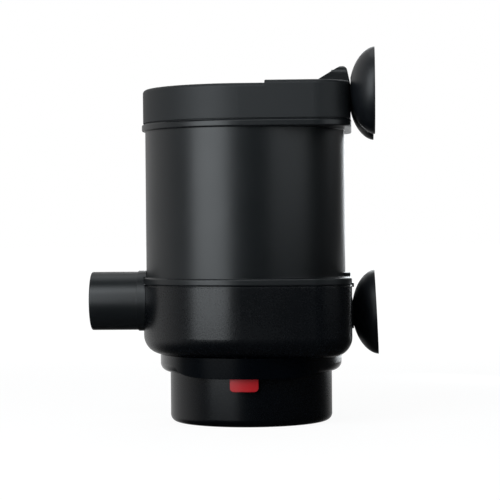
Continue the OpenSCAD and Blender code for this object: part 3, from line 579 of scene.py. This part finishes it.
def raise_outline(work, outline, low, high, bevel):
    """Raises an anticlockwise outline to a plate with a bevelled upper edge."""
    rings = []
    for height, inset in ((low, 0.0), (high - bevel, 0.0), (high, bevel)):
        ring = []
        for i, point in enumerate(outline):
            ahead = Vector(outline[(i + 1) % len(outline)]) - Vector(outline[i - 1])
            x, y = Vector(point) + Vector((-ahead.y, ahead.x)).normalized() * inset
            ring.append(work.verts.new((x, y, height)))
        rings.append(ring)
    for below, above in zip(rings, rings[1:]):
        bridge(work, below, above)
    work.faces.new(rings[-1])
    work.faces.new(list(reversed(rings[0])))


def at_angle(centre, radius, angle):
    """The point at an angle on a circle."""
    return centre[0] + radius * math.cos(angle), centre[1] + radius * math.sin(angle)


def bar_outline(centre, half_length, half_width, turn=0.0):
    """Anticlockwise outline of a bar with round ends."""
    points = []
    for side in (0, math.pi):
        end = at_angle(centre, half_length - half_width, turn + side)
        points += [at_angle(end, half_width, turn + side + math.pi * (i / BAR_END - 0.5))
                   for i in range(BAR_END + 1)]
    return points


def arc_outline(centre, radius, half_width, start, end):
    """Anticlockwise outline of a curved bar between two angles, with round ends."""
    points = []
    for reach, first, last in ((radius + half_width, start, end),
                               (radius - half_width, end, start)):
        points += [at_angle(centre, reach, first + (last - first) * i / ARC_SIDE)
                   for i in range(ARC_SIDE + 1)]
        tip = at_angle(centre, radius, last)
        outward = last if reach > radius else last + math.pi
        points += [at_angle(tip, half_width, outward + math.pi * i / ARC_END)
                   for i in range(1, ARC_END)]
    return points


def revolve(work, profile, place):
    """Spins a closed section, a list of (along, radius), round the X axis of a place."""
    rings = []
    for i in range(FULL_TURN):
        a = 2 * math.pi * i / FULL_TURN
        rings.append([work.verts.new(place @ Vector((x, r * math.cos(a), r * math.sin(a))))
                      for x, r in profile])
    for i, ring in enumerate(rings):
        bridge(work, ring, rings[(i + 1) % FULL_TURN])


# ---------- repeated things ----------

SOCKETS = {float: "NodeSocketFloat", int: "NodeSocketInt",
           bpy.types.Material: "NodeSocketMaterial", bpy.types.Object: "NodeSocketObject"}


def new_group(name, values):
    """A Geometry Nodes group with a named input for each value."""
    group = bpy.data.node_groups.new(name, "GeometryNodeTree")
    sockets = group.interface
    sockets.new_socket("Geometry", in_out="INPUT", socket_type="NodeSocketGeometry")
    for label, value in values.items():
        sockets.new_socket(label, in_out="INPUT", socket_type=SOCKETS[type(value)])
    sockets.new_socket("Geometry", in_out="OUTPUT", socket_type="NodeSocketGeometry")
    tree = Tree(group.nodes, group.links)
    return group, tree, tree.node("NodeGroupInput").outputs


def end_group(tree, shape, material):
    """Makes real geometry of the instances, smooth and with its finish."""
    real = tree.node("GeometryNodeRealizeInstances", None, {0: shape})
    smooth = tree.node("GeometryNodeSetShadeSmooth", None, {"Geometry": real.outputs[0]})
    done = tree.node("GeometryNodeSetMaterial", None,
                     {"Geometry": smooth.outputs[0], "Material": material})
    tree.node("NodeGroupOutput", None, {0: done.outputs[0]})


def run_group(name, group, values, start=None):
    """The plain mesh that a group makes of its values."""
    start = start or bpy.data.meshes.new(name + "_start")
    holder = bpy.data.objects.new(name + "_start", start)
    bpy.context.scene.collection.objects.link(holder)
    modifier = holder.modifiers.new("shape", "NODES")
    modifier.node_group = group
    for item in group.interface.items_tree:
        if item.in_out == "INPUT" and item.name in values:
            modifier[item.identifier] = values[item.name]
    graph = bpy.context.evaluated_depsgraph_get()
    mesh = bpy.data.meshes.new_from_object(holder.evaluated_get(graph), depsgraph=graph)
    bpy.data.objects.remove(holder)
    return mesh


def copies_at(name, unit, places, turns, finish):
    """Copies of a small mesh at the given places, each turned about Z."""
    start = bpy.data.meshes.new(name + "_places")
    start.from_pydata(places, [], [])
    start.attributes.new("turn", "FLOAT", "POINT").data.foreach_set("value", turns)
    pattern = bpy.data.objects.new(name + "_unit", unit)
    bpy.context.scene.collection.objects.link(pattern)
    values = {"Unit": pattern, "Size": 1.0, "Finish": finish.material}
    group, tree, given = new_group(name, values)
    info = tree.node("GeometryNodeObjectInfo", None, {"Object": given["Unit"]})
    turn = tree.node("GeometryNodeInputNamedAttribute", {"data_type": "FLOAT"}, {"Name": "turn"})
    spread = tree.node("GeometryNodeInstanceOnPoints", None,
                       {"Points": given["Geometry"], "Instance": info.outputs["Geometry"],
                        "Rotation": tree.vector(Z=turn.outputs[0]), "Scale": given["Size"]})
    end_group(tree, spread.outputs[0], given["Finish"])
    mesh = run_group(name, group, values, start)
    bpy.data.objects.remove(pattern)
    return mesh


# ---------- stator windings ----------

TEETH = 6
WIRE_RADIUS = 0.52 * MM
MAGNET_TO_COIL = 4.2 * MM
# In radii of the wire: from one turn to the next, how much smaller the loop of the wire's
# middle is than the coil, how much smaller again the inner layer is, the rounding of the outer
# layer's corners, and how much less the inner layer's are rounded.
TURN_PITCH, WIRE_ROOM, LAYER_STEP = 2.06, 2.02, 4.1
CORNER, CORNER_STEP = 4.2, 1.6


def wind_coils():
    """Two layers of wire round each tooth of the stator."""
    low, high, middle = corners("stator_coils")
    outer = (high.x - low.x) / 2
    sixth = math.pi / 3
    wide = 2 * ((high.y - low.y) / 2 - outer * math.sin(sixth)) / math.cos(sixth)
    magnet_low, magnet_high, _ = corners("rotor_magnet")
    inner = (magnet_high.x - magnet_low.x) / 2 + MAGNET_TO_COIL
    turns = int((outer - inner) / (TURN_PITCH * WIRE_RADIUS))
    room = WIRE_ROOM * WIRE_RADIUS
    values = {"Wide": wide - room, "Tall": high.z - low.z - room, "Wire": WIRE_RADIUS,
              "First": inner + WIRE_RADIUS, "Last": outer - WIRE_RADIUS, "Turns": turns,
              "Coils": TEETH, "Across": middle.x, "Along": middle.y, "Up": middle.z,
              "Finish": winding.material}
    group, tree, given = new_group("stator_winding", values)

    def get(label):
        return Val(tree, given[label])

    circle = tree.node("GeometryNodeCurvePrimitiveCircle", None,
                       {"Resolution": 8, "Radius": given["Wire"]})
    layers = tree.node("GeometryNodeJoinGeometry")
    for layer in (0, 1):
        less = get("Wire") * (LAYER_STEP * layer)
        loop = tree.node("GeometryNodeCurvePrimitiveQuadrilateral", {"mode": "RECTANGLE"},
                         {"Width": get("Tall") - less, "Height": get("Wide") - less})
        rounded = tree.node("GeometryNodeFilletCurve", {"mode": "POLY"},
                            {"Curve": loop.outputs[0], "Count": 5,
                             "Radius": get("Wire") * (CORNER - CORNER_STEP * layer)})
        upright = tree.node("GeometryNodeTransform", None,
                            {"Geometry": rounded.outputs[0], "Rotation": (0, math.pi / 2, 0)})
        tube = tree.node("GeometryNodeCurveToMesh", None,
                         {"Curve": upright.outputs[0], "Profile Curve": circle.outputs[0]})
        tree.links.new(tube.outputs[0], layers.inputs[0])
    step = (get("Last") - get("First")) / (get("Turns") - 1)
    row = tree.node("GeometryNodeMeshLine", {"mode": "OFFSET"},
                    {"Count": given["Turns"], "Start Location": tree.vector(X=given["First"]),
                     "Offset": tree.vector(X=step)})
    coil = tree.node("GeometryNodeInstanceOnPoints", None,
                     {"Points": row.outputs[0], "Instance": layers.outputs[0]})
    hub = tree.node("GeometryNodePoints", None, {"Count": given["Coils"]})
    index = Val(tree, tree.node("GeometryNodeInputIndex").outputs[0])
    turn = tree.vector(Z=index * (2 * math.pi) / get("Coils"))
    ring = tree.node("GeometryNodeInstanceOnPoints", None,
                     {"Points": hub.outputs[0], "Instance": coil.outputs[0], "Rotation": turn})
    place = tree.vector(X=given["Across"], Y=given["Along"], Z=given["Up"])
    moved = tree.node("GeometryNodeTransform", None,
                      {"Geometry": ring.outputs[0], "Translation": place})
    end_group(tree, moved.outputs[0], given["Finish"])
    mesh = run_group("stator_windings", group, values)
    piece = add_piece("stator_windings", mesh, "shell")
    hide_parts("stator_coils")


# ---------- keys and display ----------

# How far a piece that stands on a surface goes into it, and how far a mark stands out.
SINK = 0.02 * MM
MARK_PROUD, MARK_BEVEL = 0.14 * MM, 0.06 * MM
DIGIT_PROUD, DIGIT_BEVEL = 0.03 * MM, 0.01 * MM
DIGIT_PITCH = 8.2 * MM


def mark_keys():
    """Raised minus, power and plus marks, upright for a user outside the pot's wall."""
    stroke = 0.32 * MM
    bar = bar_outline((0, 0), 1.9 * MM, stroke, math.pi / 2)
    stubs = [bar_outline((side * 1.16 * MM, 0), 0.76 * MM, stroke) for side in (-1, 1)]
    ring = arc_outline((0, 0), 1.75 * MM, 0.3 * MM, math.radians(-145), math.radians(145))
    stalk = bar_outline((-1.35 * MM, 0), 1.1 * MM, 0.3 * MM)
    for name, outlines in (("minus", [bar]), ("plus", [bar, *stubs]), ("power", [ring, stalk])):
        _, high, middle = corners("key_" + name)

        def make(work):
            for outline in outlines:
                raise_outline(work, [(middle.x + x, middle.y + y) for x, y in outline],
                              high.z - SINK, high.z + MARK_PROUD, MARK_BEVEL)

        mesh = closed_mesh(name, make)
        shade_smooth(mesh, 35)
        add_piece("mark_" + name, mesh, name + "_key", print_grey)


# Each segment's place in half segments from its digit's middle, across and along the reading
# direction, and whether it lies level or upright for the reader.
SEGMENTS = ((2, 0, "level"), (0, 0, "level"), (-2, 0, "level"),
            (1, -1, "upright"), (-1, -1, "upright"), (1, 1, "upright"), (-1, 1, "upright"))


def show_digits():
    """Three unlit seven-segment digits and a decimal point, for the same user."""
    half_length, half_width = 2.1 * MM, 0.42 * MM
    _, high, middle = corners("display_lens")
    end = half_length - 0.25 * MM
    neck = end - half_width
    outline = [(end, 0), (neck, half_width), (-neck, half_width),
               (-end, 0), (-neck, -half_width), (neck, -half_width)]
    unit = closed_mesh("segment", lambda work: raise_outline(
        work, outline, -SINK, DIGIT_PROUD, DIGIT_BEVEL))
    places, turns = [], []
    for digit in (-1, 0, 1):
        for x, y, way in SEGMENTS:
            places.append((middle.x + x * half_length,
                           middle.y + digit * DIGIT_PITCH + y * half_length, high.z))
            turns.append(math.pi / 2 if way == "level" else 0.0)
    mesh = copies_at("display_segments", unit, places, turns, segment_grey)
    add_piece("display_segments", mesh, "shell")

    point = (middle.x + 2 * half_length, middle.y + DIGIT_PITCH / 2)
    dot = bar_outline(point, half_width, half_width)
    mesh = closed_mesh("display_point", lambda work: raise_outline(
        work, dot, high.z - SINK, high.z + DIGIT_PROUD, DIGIT_BEVEL))
    add_piece("display_point", mesh, "shell", segment_grey)


# ---------- suction cups ----------

# A rib's section in millimetres, as (away from the pod, away from the cup's axis), and where
# the ribs stand, as shares of the radius inside the lip. The cup's hollow is deepest on its
# axis, at a share of the cup's depth, and rises to the lip by a power of that radius.
RIB_SECTION = ((-0.15, -0.45), (-0.15, 0.45), (0.22, 0.22), (0.30, 0.0), (0.16, -0.26))
RIB_SHARES = (0.80, 0.90)
CUP_LIP = 1.0 * MM
CUP_DEPTH = 9.3 * MM
HOLLOW_SHARE, HOLLOW_CURVE = 0.72, 2.2


def rib_cups():
    """Two fine sealing ribs inside the lip of each suction cup."""
    for name in ("cup_upper_left", "cup_upper_right", "cup_lower"):
        points = [v.co.copy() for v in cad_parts[name].data.vertices]
        rim_top = max(points, key=lambda p: p.z)
        rim_bottom = min(points, key=lambda p: p.z)
        up = (rim_top - rim_bottom).normalized()
        centre = (rim_top + rim_bottom) / 2
        centre.y = corners(name)[2].y
        radius = (rim_top - rim_bottom).length / 2 - CUP_LIP
        axes = Matrix((Vector((up.z, 0, -up.x)), Vector((0, 1, 0)), up))
        place = axes.transposed().to_4x4()
        place.translation = centre

        def make(work):
            for share in RIB_SHARES:
                hollow = -CUP_DEPTH * HOLLOW_SHARE * (1 - share ** HOLLOW_CURVE)
                section = [(hollow + x * MM, radius * share + r * MM) for x, r in RIB_SECTION]
                revolve(work, section, place)

        mesh = closed_mesh(name + "_ribs", make)
        shade_smooth(mesh, 50)
        add_piece(name + "_ribs", mesh, "shell", cup_rubber)


# ---------- boards ----------

# A joint's outline in millimetres, as (radius, height), from the board down to the cut lead.
SOLDER_SECTION = ((0.85, 0.0), (0.62, -0.12), (0.38, -0.35), (0.24, -0.7), (0.22, -1.15),
                  (0.12, -1.25))
SOLDER_SIDES = 10
SOLDER_PITCH = (4.4 * MM, 6.3 * MM)
SOLDER_REACH = 23 * MM


def solder_joints():
    """Solder cones with a clipped lead, in rows on the underside of both boards."""
    def make(work):
        rings = [[work.verts.new((r * MM * math.cos(a), r * MM * math.sin(a), z * MM))
                  for a in (2 * math.pi * i / SOLDER_SIDES for i in range(SOLDER_SIDES))]
                 for r, z in SOLDER_SECTION]
        for above, below in zip(rings, rings[1:]):
            bridge(work, above, below)
        work.faces.new(rings[0])
        work.faces.new(rings[-1])

    for name in ("control_board", "power_board"):
        low, _, middle = corners(name)
        places = []
        for row in range(-3, 4):
            for column in range(-5, 6):
                x, y = column * SOLDER_PITCH[0], row * SOLDER_PITCH[1]
                taken = (row * 7 + column * 3) % 4 < 2
                if taken and math.hypot(x, y) < SOLDER_REACH:
                    places.append((middle.x + x, middle.y + y, low.z + SINK))
        unit = closed_mesh("solder_cone", make)
        mesh = copies_at(name + "_solder", unit, places, [0.0] * len(places), solder)
        add_piece(name + "_solder", mesh, "shell")


wind_coils()
mark_keys()
show_digits()
rib_cups()
solder_joints()
